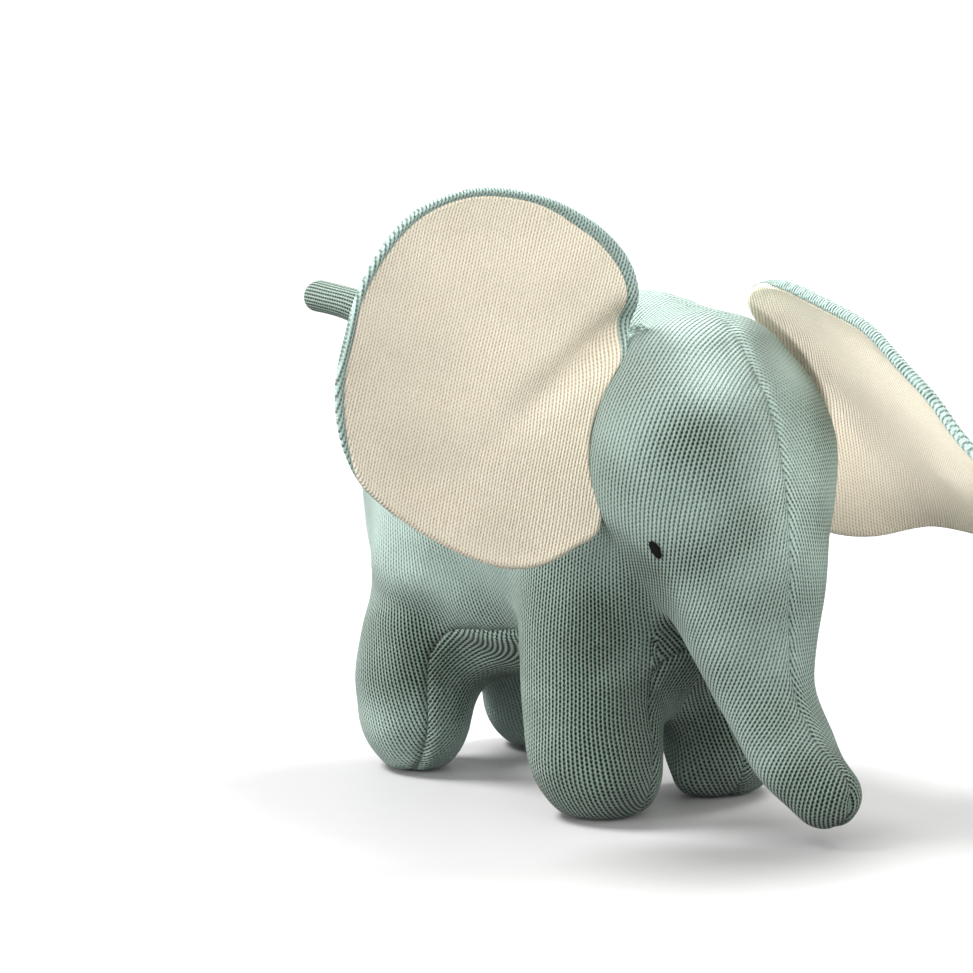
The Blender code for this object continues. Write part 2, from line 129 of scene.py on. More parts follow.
# where the stuffing stretches it, and where painted shade darkens the legs, chest and low trunk: (sideways,
# forward, up, reach, strength)
OPEN_AND_SHADED_PLACES = [(60, 60, 85, 42, 1.05), (45, 66, 40, 48, 1.05), (40, 70, 8, 45, 0.95),
               (50, -58, 55, 45, 0.95), (22, 128, 125, 48, 0.52), (30, 122, 165, 36, 0.62),
               (14, 150, 60, 45, 0.55), (12, 175, 22, 30, 1.1), (20, 0, 60, 50, 0.9),
               (10, 70, 70, 36, 1.0), (40, 100, 110, 26, 0.75)]
EAR_EDGE = 11.0                      # from the ear's rim to the last of EAR_STEPS
EAR_ROLL = 2.1                       # radius of the rolled rim
EAR_PUFF = 0.5                       # how far the layer swells where the roll ends
EAR_FORWARD = 0.3                    # how far the ear's thickness sits in front of its hinge
EAR_STEPS = (0, 0.35, 0.7, 1.1, 1.6, 2.2, 3.0, 4.0, 5.2, 6.6, 8.2, 10.0)  # closest at the seam
EAR_RINGS = 36                       # from there to the ear's middle
# (degrees round the ear, where its layers meet, as an arc length from the rim towards the front)
RIGHT_SEAM = [(-180, -0.5), (-70, -0.5), (-50, 0.5), (-38, 3.0), (-25, 4.6), (0, 4.8), (15, 4.2), (45, 5.2),
              (75, 4.8), (95, 5.2), (112, 7.6), (130, 7.8), (150, 7.0), (165, 3.0), (180, -0.5)]
LEFT_SEAM = [(-180, -0.5), (-70, -0.5), (-45, 0.3), (-20, 3.0), (10, 4.4), (60, 5.2), (95, 6.0),
             (118, 6.4), (128, 4.0), (138, 0.5), (150, -0.5), (180, -0.5)]
# valleys pressed into an ear: (start outward, start up, direction, depth, width, length)
RIGHT_FOLDS = [(4, 0, -50, 11.0, 7.5, 46), (28, 30, -60, -1.5, 14, 40)]
LEFT_FOLDS = [(6, -6, -46, 1.5, 12, 60)]

CAMERA_PLACE = Vector((-1.1460, -1.3145, 0.3899))
CAMERA_AIM = Vector((0.0064, 0.0443, 0.1341))
CAMERA_LENS = 143.2                  # millimetres, as is the sensor's width
CAMERA_SENSOR = 36
PAPER = (0.392, 0.392, 0.389, 1), (0.407, 0.407, 0.407, 1)    # its two tones
FLOOR_BOUNCE = 0.07                  # how much light the floor gives back to the toy
WORLD_BRIGHT_SIDE = (0.2, -0.35, -0.9)
WORLD_STRENGTH = (0.35, 3.05)        # of the light from its dark side and from its bright side
WORLD_SEEN = 1.05                    # how bright the background itself looks
# suns: (name, where the light comes from, strength, angle)
SUNS = [("key", (-0.42, 0.6, 1.05), 5.3, 20),
        ("fill", (0.8, -0.55, 0.28), 1.0, 50),
        ("back_right", (0.75, 0.1, 1.0), 2.4, 20),
        ("left", (-1.0, 0.15, 0.25), 2.4, 40)]
# spot lamps, on the left ear's inside and on the head's top: (name, place, aim, watts, cone)
SPOTS = [("ear_bounce", (-0.155, -0.411, 0.03), (0.09, -0.135, 0.18), 8, 23),
         ("top_spot", (-0.9, -0.9, 0.9), (-0.04, -0.07, 0.25), 21, 9)]


def rows(points):
    """Millimetres from the middle of the feet to metres in the row's frame."""
    points = np.asarray(points, float)
    sideways = SIDEWAYS_ZERO + points[..., 0]
    forward = FORWARD_ZERO - points[..., 1]
    return np.stack([sideways, forward, points[..., 2]], -1) * 0.001


# ---------------------------------------------------------------- the stuffed body's surface
def curve_point(a, b, c, d, t):
    """The point at t, from 0 at b to 1 at c, of a smooth curve that also passes a and d."""
    return b + 0.5 * t * (c - a + t * (2 * a - 5 * b + 4 * c - d + t * (3 * b - a - 3 * c + d)))


def spline(stations, count):
    """Samples of a smooth curve through the stations."""
    p = np.asarray(stations, float)
    q = np.vstack([2 * p[0] - p[1], p, 2 * p[-1] - p[-2]])
    samples = []
    for u in np.linspace(0, len(p) - 1, count):
        i = min(int(u), len(p) - 2)
        samples.append(curve_point(*q[i:i + 4], u - i))
    return np.array(samples)


def limb(stations, count, side=0):
    """Samples of (sideways, forward, up, half width, half depth). A middle limb's stations name no side."""
    if side:
        stations = [(side * s[0],) + tuple(s[1:]) for s in stations]
    else:
        stations = [(0,) + tuple(s) for s in stations]
    return spline(stations, count)


LIMBS = {"torso": limb(TORSO, 40), "head": limb(HEAD_AND_TRUNK, 90), "chest": limb(CHEST, 12)}
for side in (-1, 1):
    LIMBS["front", side] = limb(FRONT_LEG, 34, side)
    LIMBS["rear", side] = limb(REAR_LEG, 34, side)


def limb_distance(points, samples):
    """Roughly how far outside the limb each point is, negative inside."""
    best = np.full(len(points), 1e9)
    for x, f, z, a, b in samples:
        across = ((points[:, 0] - x) / a) ** 2
        along = ((points[:, 1] - f) ** 2 + (points[:, 2] - z) ** 2) / b ** 2
        best = np.minimum(best, b * (np.sqrt(across + along) - 1))
    return best


def soft_min(a, b, k):
    """The smaller of a and b, rounded over where they come within k of each other."""
    h = np.clip(0.5 + 0.5 * (b - a) / k, 0, 1)
    return b * (1 - h) + a * h - k * h * (1 - h)


def body_distance(points):
    """How far outside the whole body each point is, its limbs melted into the torso."""
    d = soft_min(limb_distance(points, LIMBS["torso"]), limb_distance(points, LIMBS["chest"]), LEG_BLEND)
    for key, samples in LIMBS.items():
        if isinstance(key, tuple):
            d = soft_min(d, limb_distance(points, samples), LEG_BLEND)
    return soft_min(d, limb_distance(points, LIMBS["head"]), NECK_BLEND)


def gradient_of(field, points, step=0.5):
    g = np.zeros_like(points)
    for k in range(3):
        delta = np.zeros(3)
        delta[k] = step
        g[:, k] = (field(points + delta) - field(points - delta)) / (2 * step)
    return g


def onto(field, points, rounds):
    """The points moved to where the field is zero."""
    for _ in range(rounds):
        g = gradient_of(field, points)
        points = points - g * (field(points) / np.maximum((g ** 2).sum(1), 1e-3))[:, None]
    return points


def gusset_side(points):
    """Negative where the body's surface belongs to the belly gusset."""
    half, turn, close = (np.interp(points[:, 1], GUSSET[:, 0], GUSSET[:, k]) for k in (1, 2, 3))
    x, z = np.sqrt(points[:, 0] ** 2 + 1), points[:, 2]
    roof = ((z - turn) * half + (x - half) * (close - turn)) / np.hypot(half, close - turn)
    inside = soft_min(half - x, -roof, GUSSET_ROUND)
    return -soft_min(inside, GUSSET[-1, 0] - points[:, 1], GUSSET_ROUND)


def stood(points, height, softness):
    """The points, with the lowest flattened at the height, as where the feet stand."""
    points[:, 2] = -soft_min(-points[:, 2], np.full(len(points), -height), softness)
    return points


def on_left(points):
    """The points of both sides, laid over each other on the left."""
    return np.column_stack([np.abs(points[:, 0]), points[:, 1:]])


# ---------------------------------------------------------------- mesh helpers
def link(name, data):
    obj = bpy.data.objects.new(name, data)
    bpy.context.scene.collection.objects.link(obj)
    return obj


def object_from(name, bm):
    mesh = bpy.data.meshes.new(name)
    bm.to_mesh(mesh)
    bm.free()
    return link(name, mesh)


def apply_modifier(obj, kind, **settings):
    modifier = obj.modifiers.new(kind, kind)
    for key, value in settings.items():
        setattr(modifier, key, value)
    bpy.context.view_layer.update()
    evaluated = obj.evaluated_get(bpy.context.evaluated_depsgraph_get())
    mesh = bpy.data.meshes.new_from_object(evaluated)
    obj.modifiers.clear()
    obj.data = mesh


def coords(obj):
    flat = np.empty(len(obj.data.vertices) * 3)
    obj.data.vertices.foreach_get("co", flat)
    return flat.reshape(-1, 3)


def normals(obj):
    flat = np.empty(len(obj.data.vertices) * 3, np.float32)
    obj.data.vertices.foreach_get("normal", flat)
    return flat.reshape(-1, 3).astype(float)


def set_coords(obj, points):
    obj.data.vertices.foreach_set("co", np.asarray(points, np.float32).ravel())
    obj.data.update()


def corner_vertices(mesh):
    """Each face corner's vertex."""
    corner = np.empty(len(mesh.loops), int)
    mesh.loops.foreach_get("vertex_index", corner)
    return corner


def set_open_and_shade(obj, values):
    """How far the stuffing stretches the knit open, and how much painted shade darkens it, from 0 to 1, as a
    mesh attribute.
    """
    attribute = obj.data.attributes.new("open_and_shade", "FLOAT", "POINT")
    attribute.data.foreach_set("value", values.astype(np.float32))


def body_blank():
    """The whole body's surface, in even quads."""
    bm = bmesh.new()
    for samples in LIMBS.values():
        for x, f, z, a, b in samples:
            place = Matrix.Translation((x, f, z)) @ Matrix.Diagonal((a, b, b, 1))
            bmesh.ops.create_icosphere(bm, subdivisions=2, radius=1, matrix=place)
    blank = object_from("blank", bm)
    apply_modifier(blank, "REMESH", mode="VOXEL", voxel_size=PANEL_CELL, adaptivity=0)
    for _ in range(2):
        set_coords(blank, onto(body_distance, coords(blank), 2))
        apply_modifier(blank, "SMOOTH", factor=0.5, iterations=4)
    set_coords(blank, onto(body_distance, coords(blank), 2))
    return blank


def split_along(bm, field):
    """Lay a line of edges where the field is zero on the surface, and mark each face's side."""
    bm.verts.ensure_lookup_table()
    points = np.array([v.co[:] for v in bm.verts])
    value = field(points)
    near = np.abs(value) < 0.27 * PANEL_CELL
    moved = points[near]
    for _ in range(3):
        moved = onto(body_distance, onto(field, moved, 1), 1)
    moved = onto(field, moved, 1)
    for index, place in zip(np.flatnonzero(near), moved):
        bm.verts[index].co = place
    value[near] = 0
    sign = {v: s for v, s in zip(bm.verts, value)}
    crossing = [e for e in bm.edges if sign[e.verts[0]] * sign[e.verts[1]] < 0]
    fresh = []
    for edge in crossing:
        a, b = edge.verts
        _, vert = bmesh.utils.edge_split(edge, a, sign[a] / (sign[a] - sign[b]))
        sign[vert] = 0
        fresh.append(vert)
    if fresh:
        places = onto(field, onto(body_distance, np.array([v.co[:] for v in fresh]), 1), 1)
        for vert, place in zip(fresh, places):
            vert.co = place
    line = [v for v in bm.verts if sign[v] == 0]
    bmesh.ops.connect_verts(bm, verts=line)
    mark = bm.faces.layers.int.get("side") or bm.faces.layers.int.new("side")
    for face in bm.faces:
        total = sum(sign[v] for v in face.verts) or field(np.array([face.calc_center_median()[:]]))[0]
        face[mark] = 1 if total > 0 else -1


def keep_faces(bm, side):
    """Remove the faces that split_along put on the other side."""
    mark = bm.faces.layers.int["side"]
    bmesh.ops.delete(bm, geom=[f for f in bm.faces if f[mark] != side], context="FACES")


def drop_loose(bm):
    bmesh.ops.delete(bm, geom=[v for v in bm.verts if not v.link_faces], context="VERTS")


def whole_gusset(half):
    """The belly gusset, from its left half and that half's mirror image."""
    bm = bmesh.new()
    bm.from_mesh(half.data)
    bpy.data.objects.remove(half)
    twin = bm.copy()
    for v in twin.verts:
        v.co.x = -v.co.x
    bmesh.ops.reverse_faces(twin, faces=twin.faces)
    mesh = bpy.data.meshes.new("twin")
    twin.to_mesh(mesh)
    twin.free()
    bm.from_mesh(mesh)
    bmesh.ops.remove_doubles(bm, verts=[v for v in bm.verts if abs(v.co.x) < 0.01], dist=0.05)
    return object_from("belly_gusset_skin", bm)


def body_panels():
    """The left side panel, the belly gusset and the filling's blank. The first two share their seam."""
    blank = body_blank()
    bm = bmesh.new()
    bm.from_mesh(blank.data)
    split_along(bm, lambda p: p[:, 0])
    keep_faces(bm, 1)
    for v in bm.verts:
        if abs(v.co.x) < 1e-4:
            v.co.x = 0
    split_along(bm, gusset_side)
    side = bm.copy()
    keep_faces(side, 1)
    drop_loose(side)
    keep_faces(bm, -1)
    drop_loose(bm)
    half = object_from("half_gusset", bm)
    comb(half, np.array(GUSSET_COLUMNS))
    blank.name = "body_filling"
    return object_from("side_panel_left_skin", side), whole_gusset(half), blank


def settle(flat, points, pairs):
    """Let a flattened piece relax, as cloth does, until lengths along and across it are the real ones."""
    carried, pulled = 0.93, 0.7      # how much of the speed stays, and how much of the pull joins it
    a, b = pairs.T
    length = np.linalg.norm(points[a] - points[b], axis=1)
    ends = np.concatenate([a, b])
    share = 1 / np.maximum(np.bincount(ends, minlength=len(flat)), 1)
    speed = np.zeros_like(flat)
    for _ in range(SETTLE_ROUNDS):
        reach = flat[b] - flat[a]
        now = np.linalg.norm(reach, axis=1)
        pull = reach * ((now - length) / np.maximum(now, 1e-9))[:, None] * 0.5
        both = np.concatenate([pull, -pull])
        push = np.stack([np.bincount(ends, both[:, k], len(flat)) for k in (0, 1)], 1)
        speed = speed * carried + push * share[:, None] * pulled
        flat = flat + speed
    return flat


def unwrapped(obj):
    """The piece flattened at any scale: one flat place for each vertex."""
    bpy.context.view_layer.objects.active = obj
    obj.select_set(True)
    obj.data.uv_layers.new(name="Knit")
    bpy.ops.object.mode_set(mode="EDIT")
    bpy.ops.mesh.select_all(action="SELECT")
    bpy.ops.uv.unwrap(method="MINIMUM_STRETCH", iterations=30, margin=0.0)
    bpy.ops.object.mode_set(mode="OBJECT")
    obj.select_set(False)
    layer = obj.data.uv_layers["Knit"].data
    uv = np.empty(len(layer) * 2)
    layer.foreach_get("uv", uv)
    flat = np.zeros((len(obj.data.vertices), 2))
    flat[corner_vertices(obj.data)] = uv.reshape(-1, 2)
    return flat


def flatten(obj):
    """Give the piece a Knit map in millimetres with little stretch, its columns upwards on the whole."""
    flat = unwrapped(obj)
    points = coords(obj)
    edges = np.array([e.vertices[:] for e in obj.data.edges])
    real = np.linalg.norm(points[edges[:, 0]] - points[edges[:, 1]], axis=1)
    drawn = np.linalg.norm(flat[edges[:, 0]] - flat[edges[:, 1]], axis=1)
    scale = np.median(real / np.maximum(drawn, 1e-9))
    pairs = {tuple(sorted((a, b))) for face in obj.data.polygons for a in face.vertices
             for b in face.vertices if a != b}
    flat = settle(flat * scale, points, np.array(sorted(pairs)))
    uv = flat[corner_vertices(obj.data)]
    basis = np.hstack([flat, np.ones((len(flat), 1))])
    slope = np.linalg.lstsq(basis, points[:, 2], rcond=None)[0][:2]
    slope /= np.linalg.norm(slope)
    turn = np.array([[slope[1], -slope[0]], [slope[0], slope[1]]])
    uv = (uv - uv.mean(0)) @ turn.T
    obj.data.uv_layers["Knit"].data.foreach_set("uv", uv.ravel())


def comb(obj, guide):
    """Give the piece a Knit map in millimetres whose columns follow the guide as well as they can."""
    points = coords(obj)
    steps = np.zeros((len(points), len(points)))
    wanted = np.zeros((len(points), 2))
    for face in obj.data.polygons:
        normal = np.array(face.normal)
        along = guide - normal * (guide @ normal)
        along /= max(np.linalg.norm(along), 1e-6)
        ways = np.stack([np.cross(along, normal), along], 1)
        for a in face.vertices:
            for b in face.vertices:
                if a < b:
                    steps[a, a] += 1
                    steps[b, b] += 1
                    steps[a, b] -= 1
                    steps[b, a] -= 1
                    reach = (points[b] - points[a]) @ ways
                    wanted[b] += reach
                    wanted[a] -= reach
    steps[0, 0] += 1
    flat = np.linalg.solve(steps, wanted)
    knit = obj.data.uv_layers.new(name="Knit").data
    knit.foreach_set("uv", flat[corner_vertices(obj.data)].ravel())


def waves(points, length, seed):
    """Smooth wavy noise about 1 high, from plane waves in mixed directions."""
    rng = np.random.default_rng(seed)
    total = np.zeros(len(points))
    for _ in range(14):
        direction = rng.normal(size=3)
        direction *= 2 * math.pi / (np.linalg.norm(direction) * length * rng.uniform(0.7, 1.5))
        total += np.sin(points @ direction + rng.uniform(0, 6.28))
    return total / math.sqrt(7)


def boundary_points(obj):
    """The places of the vertices on the piece's cut edges."""
    bm = bmesh.new()
    bm.from_mesh(obj.data)
    found = np.array([v.co[:] for v in bm.verts if v.is_boundary])
    bm.free()
    return found


def distance_to(points, line):
    """How far each point is from the nearest of the line's points."""
    tree = KDTree(len(line))
    for i, p in enumerate(line):
        tree.insert(p, i)
    tree.balance()
    return np.array([tree.find(p)[2] for p in points])


def stuff(obj, seams):
    """Turn the fine panel into stuffed cloth: grooved at its seams, wavy, flat under the feet."""
    points = coords(obj)
    normal = normals(obj)
    d = distance_to(points, seams)
    groove = -SEAM_DEPTH * np.exp(-(d / 1.7) ** 2)
    swell = 0.25 * np.exp(-((d - 5) / 3) ** 2)
    lumps = 0.42 * waves(points, 38, 3) * (1 - np.exp(-(d / 8) ** 2))
    puckers = 0.22 * waves(points, 11, 4) * np.exp(-(d / 6) ** 2)
    lift = groove + swell + lumps + puckers + pressed_creases(points)
    set_coords(obj, stood(points + normal * lift[:, None], 0.4, 3.0))


def pressed_creases(points):
    """How far the body's soft creases lift or press in each point, the same on both sides."""
    folded = on_left(points)
    total = np.zeros(len(points))
    for line, lift, reach in BODY_CREASES:
        line = np.array(line, float)
        nearest = np.full(len(points), 1e9)
        for a, b in zip(line[:-1], line[1:]):
            t = np.clip((folded - a) @ (b - a) / ((b - a) @ (b - a)), 0, 1)
            nearest = np.minimum(nearest, np.linalg.norm(folded - a - np.outer(t, b - a), axis=1))
        total += lift * np.exp(-(nearest / reach) ** 2)
    return total


def mark_open_and_shade(obj):
    """Set how open the body's knit is, and how much painted shade darkens it, from the places listed above.
    """
    points = on_left(coords(obj))
    value = np.full(len(points), OPEN_SLACK)
    for x, f, z, reach, strength in OPEN_AND_SHADED_PLACES:
        near = strength * np.exp(-(((points - [x, f, z]) ** 2).sum(1) / reach ** 2) ** 1.5)
        value = np.maximum(value, near) + 0.15 * np.minimum(value, near)
    set_open_and_shade(obj, np.clip(value + 0.06 * waves(points, 30, 12), 0, 1))


def hem(obj):
    """Turn the cut edges in, as a seam allowance."""
    bm = bmesh.new()
    bm.from_mesh(obj.data)
    inward = {v.index: v.co - v.normal * HEM for v in bm.verts if v.is_boundary}
    made = bmesh.ops.extrude_edge_only(bm, edges=[e for e in bm.edges if e.is_boundary])["geom"]
    fresh = [v for v in made if isinstance(v, bmesh.types.BMVert)]
    for v in fresh:
        old = next(e.other_vert(v) for e in v.link_edges if e.other_vert(v) not in fresh)
        v.co = inward[old.index]
    bm.to_mesh(obj.data)
    bm.free()


def dress(obj, material, node, flip=True):
    """Move a finished piece from millimetres into the row's frame, and give it its yarn.

    The row's frame is a mirror image of the millimetres, so faces turn over, unless the piece was
    built as a mirror image itself.
    """
    set_coords(obj, rows(coords(obj)))
    if flip:
        obj.data.flip_normals()
    obj.data.shade_smooth()
    obj.data.materials.append(material)
    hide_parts(node)


def mirrored(obj, name):
    """The piece's mirror image, for the other side."""
    twin = link(name, obj.data.copy())
    points = coords(twin)
    points[:, 0] *= -1
    set_coords(twin, points)
    twin.data.flip_normals()
    return twin


# ---------------------------------------------------------------- ears
def ear_mapper(side, pose):
    """(function from flat ear points and their lift to places in millimetres, the way outward)."""
    sweep, droop, fold_height, fold_slope, bends = pose
    top, bottom = (np.array((side * p[0], p[1], p[2]), float) for p in (EAR_TOP, EAR_BOTTOM))
    up = (top - bottom) / np.linalg.norm(top - bottom)
    out = np.array([side * math.cos(math.radians(sweep)), -math.sin(math.radians(sweep)), 0])
    out -= up * (out @ up)
    out /= np.linalg.norm(out)
    front = np.cross(out, up) * side * -1
    c, s = math.cos(math.radians(droop)), math.sin(math.radians(droop))
    along = np.array([math.cos(math.radians(fold_slope)), math.sin(math.radians(fold_slope))])
    over = np.array([-along[1], along[0]])
    table = np.linspace(-200, 200, 1601)
    bend = np.radians(np.interp(table, [b[0] for b in bends], [b[1] for b in bends]))
    step = table[1] - table[0]
    run = np.concatenate([[0], np.cumsum(np.cos(bend[1:]) * step)])
    rise = np.concatenate([[0], np.cumsum(np.sin(bend[1:]) * step)])
    run -= np.interp(0, table, run)
    rise -= np.interp(0, table, rise)

    def place(flat, lift):
        turned = np.stack([flat[:, 0] * c + flat[:, 1] * s,
                           -flat[:, 0] * s + flat[:, 1] * c - fold_height], 1)
        distance = turned @ over
        angle = np.interp(distance, table, bend)
        ahead = np.interp(distance, table, run) - np.sin(angle) * lift
        depth = np.interp(distance, table, rise) + np.cos(angle) * lift
        spot = np.outer(turned @ along, along) + np.outer(ahead, over) + [0, fold_height]
        return top + np.outer(spot[:, 0], out) + np.outer(spot[:, 1], up) + np.outer(depth, front)

    return place, out


def smooth_loop(points, per_side):
    """A smooth closed curve through the points."""
    p = np.asarray(points, float)
    n = len(p)
    loop = []
    for i in range(n):
        a, b, c, d = p[i - 1], p[i], p[(i + 1) % n], p[(i + 2) % n]
        for t in np.arange(per_side) / per_side:
            loop.append(curve_point(a, b, c, d, t))
    return np.array(loop)


def ear_loop(place, outline):
    """The flat outline, its root edge laid against the head."""
    loop = smooth_loop(outline, 7)
    root = (loop[:, 0] < 45) & (loop[:, 1] > -98) & (loop[:, 1] < 9)
    for _ in range(160):
        gap = body_distance(place(loop, np.zeros(len(loop))))
        push = root & (gap < -0.6)
        if not push.any():
            break
        loop[push, 0] += 0.3
    return loop


def ear_profile(s):
    """(inset, lift) at arc length s round the ear's edge: negative behind, positive in front."""
    quarter = EAR_ROLL * math.pi / 2
    angle = np.clip(s, -quarter, quarter) / EAR_ROLL
    inset = EAR_ROLL * (1 - np.cos(angle)) + np.maximum(np.abs(s) - quarter, 0)
    lift = EAR_FORWARD + EAR_ROLL * np.sin(angle)
    return inset, lift + np.sign(s) * EAR_PUFF * np.exp(-((np.abs(s) - quarter) / 2.2) ** 2)


def seam_line(loop, table):
    """Where the two layers meet round the edge, from (degrees round the ear, arc length) pairs."""
    reach = loop - EAR_MIDDLE
    around = np.degrees(np.arctan2(reach[:, 1], reach[:, 0]))
    return np.interp(around, [t[0] for t in table], [t[1] for t in table])


def folds(flat, creases):
    """How far the ear's valleys lift each flat point, negative where they press it in."""
    total = np.zeros(len(flat))
    for outward, up, direction, depth, width, length in creases:
        way = np.array([math.cos(math.radians(direction)), math.sin(math.radians(direction))])
        rest = flat - [outward, up]
        along, across = rest @ way, rest @ [-way[1], way[0]]
        fade = np.where(along < 0, np.exp(-(along / 8) ** 2), np.exp(-(along / length) ** 2))
        total -= depth * fade * np.exp(-(across / width) ** 2)
    return total


def ear_rings(loop, seam_at, toward):
    """(flat points in rings from the seam at the rim to the middle, their lifts, count of rings)."""
    reach = loop - EAR_MIDDLE
    length = np.linalg.norm(reach, axis=1)
    rings, lifts = [], []
    for step in EAR_STEPS:
        s = seam_at + (toward * EAR_EDGE - seam_at) * step / EAR_STEPS[-1]
        inset, lift = ear_profile(s)
        rings.append(EAR_MIDDLE + reach * ((length - inset) / length)[:, None])
        lifts.append(lift - np.sign(s) * 0.9 * math.exp(-(step / 0.7) ** 2))
    start = (length - ear_profile(np.array([EAR_EDGE]))[0][0]) / length
    flat_lift = EAR_FORWARD + toward * EAR_ROLL
    for t in np.linspace(0, 1, EAR_RINGS)[1:-1]:
        rings.append(EAR_MIDDLE + reach * (start * (1 - t))[:, None])
        lifts.append(np.full(len(loop), flat_lift))
    return np.vstack(rings + [[EAR_MIDDLE]]), np.concatenate(lifts + [[flat_lift]]), len(rings)


def ear_layer(name, place, loop, seam_at, toward, creases):
    """One knitted layer, from the seam at the ear's edge to its middle. toward is -1 behind, 1 in front."""
    n = len(loop)
    flat, lift, count = ear_rings(loop, seam_at, toward)
    ripple = 0.5 * waves(np.hstack([flat, np.zeros((len(flat), 1))]), 45, 9)
    shape = place(flat, lift + folds(flat, creases) + ripple)
    bm = bmesh.new()
    uv = bm.loops.layers.uv.new("Knit")
    verts = [bm.verts.new(p) for p in shape]
    for row in range(count - 1):
        for k in range(n):
            a, b = row * n + k, row * n + (k + 1) % n
            bm.faces.new([verts[i] for i in (a, b, b + n, a + n)])
    end = (count - 1) * n
    for k in range(n):
        bm.faces.new([verts[end + k], verts[end + (k + 1) % n], verts[-1]])
    bm.verts.index_update()
    for face in bm.faces:
        for corner in face.loops:
            corner[uv].uv = flat[corner.vert.index]
    obj = object_from(name, bm)
    if toward < 0:
        obj.data.flip_normals()
    return obj


# ---------------------------------------------------------------- tail, eyes, filling
def tube(name, rings, uv_of=None, close=(True, True)):
    """Skin over rings of points. uv_of gives the Knit map from (ring, step round it)."""
    bm = bmesh.new()
    layer = bm.loops.layers.uv.new("Knit")
    sides = len(rings[0])
    verts = [[bm.verts.new(p) for p in ring] for ring in rings]
    for row in range(len(rings) - 1):
        for k in range(sides):
            after = (k + 1) % sides
            face = bm.faces.new((verts[row][k], verts[row][after], verts[row + 1][after], verts[row + 1][k]))
            if uv_of:
                for corner, spot in zip(face.loops, ((row, k), (row, k + 1), (row + 1, k + 1), (row + 1, k))):
                    corner[layer].uv = uv_of(*spot)
    for wanted, row in zip(close, (0, -1)):
        if wanted:
            cap = bm.faces.new(verts[row] if row else verts[row][::-1])
            if uv_of:
                for k, corner in enumerate(cap.loops):
                    corner[layer].uv = uv_of(row % len(rings), k)
    bmesh.ops.recalc_face_normals(bm, faces=bm.faces)
    return object_from(name, bm)


def tail_axis():
    """The tail's root, its direction, the way up across it and its length."""
    root, tip = (np.array((0.0,) + p) for p in (TAIL_ROOT, TAIL_TIP))
    length = np.linalg.norm(tip - root)
    along = (tip - root) / length
    up = np.cross([1.0, 0, 0], along)
    return root, along, up if up[2] > 0 else -up, length


def tail_rings(shrink, start, sides):
    """Rings round the tail, from start to its tip, and how far along it each one is."""
    root, along, up, length = tail_axis()
    shape = np.array(TAIL_SHAPE)
    straight = length - TAIL_TIP_ROUND
    cap = straight + TAIL_TIP_ROUND * np.sin(np.linspace(0.12, 0.985, 9) * math.pi / 2)
    distances = np.concatenate([np.linspace(start, straight, 44), cap])
    angle = np.arange(sides) * 2 * math.pi / sides
    rings = []
    for d in distances:
        radius = np.interp(min(d, straight), shape[:, 0], shape[:, 1])
        if d > straight:
            radius *= math.sqrt(max(1 - ((d - straight) / TAIL_TIP_ROUND) ** 2, 0.01))
        radius -= shrink
        centre = root + along * d + up * (TAIL_ARCH * math.sin(math.pi * d / length))
        squeeze = 1 + 0.03 * math.sin(d / 7.0)
        ring = centre + np.outer(np.cos(angle) * radius * squeeze, [1, 0, 0])
        rings.append(ring + np.outer(np.sin(angle) * radius / squeeze, up))
    return rings, distances


def rooted(rings, along):
    """Lead the tail's first rings down into the rump, where it is sewn on."""
    foot = rings[0].copy()
    for _ in range(60):
        outside = body_distance(foot) > -1.5
        foot[outside] -= along * 0.4
    rise = rings[ROOT_RINGS] - foot
    return [foot + rise * row / ROOT_RINGS for row in range(ROOT_RINGS)] + rings[ROOT_RINGS:]


def thread(points, radius):
    """Rings round a line of points, thinning at its two ends."""
    points = np.asarray(points, float)
    angle = np.arange(THREAD_SIDES) * 2 * math.pi / THREAD_SIDES
    start = np.array([0.31, 0.52, 0.79])     # any way that no thread runs along
    rings = []
    for k, (p, way) in enumerate(zip(points, np.gradient(points, axis=0))):
        way = way / np.linalg.norm(way)
        across = np.cross(way, start)
        across /= np.linalg.norm(across)
        other = np.cross(way, across)
        thin = 0.55 if k in (0, len(points) - 1) else 1.0
        rings.append(p + thin * radius * (np.outer(np.cos(angle), across) + np.outer(np.sin(angle), other)))
    return rings


def loose_ends(place, side):
    """A few ends of yarn left where the ear's seam meets the head."""
    rng = np.random.default_rng(8)
    root = place(np.array([[1.0, -3.0]]), np.array([1.5]))[0]
    ends = []
    for k in range(7):
        way = np.array([-side * rng.uniform(0.5, 1.1), rng.uniform(0.1, 0.7), rng.uniform(0.2, 1.3)])
        way *= rng.uniform(5, 9) / np.linalg.norm(way)
        sag = np.array([0, rng.uniform(-1, 1), -rng.uniform(1.5, 3.5)])
        start = root + rng.uniform(-1.3, 1.3, 3)
        line = [start + way * t + sag * t * t for t in np.linspace(0, 1, 9)]
        ends.append(tube("end", thread(line, END_RADIUS), lambda row, k: (1.15, row * 0.4)))
    return ends


def joined(name, objects):
    """The objects as one mesh."""
    bm = bmesh.new()
    for obj in objects:
        bm.from_mesh(obj.data)
        bpy.data.objects.remove(obj)
    return object_from(name, bm)


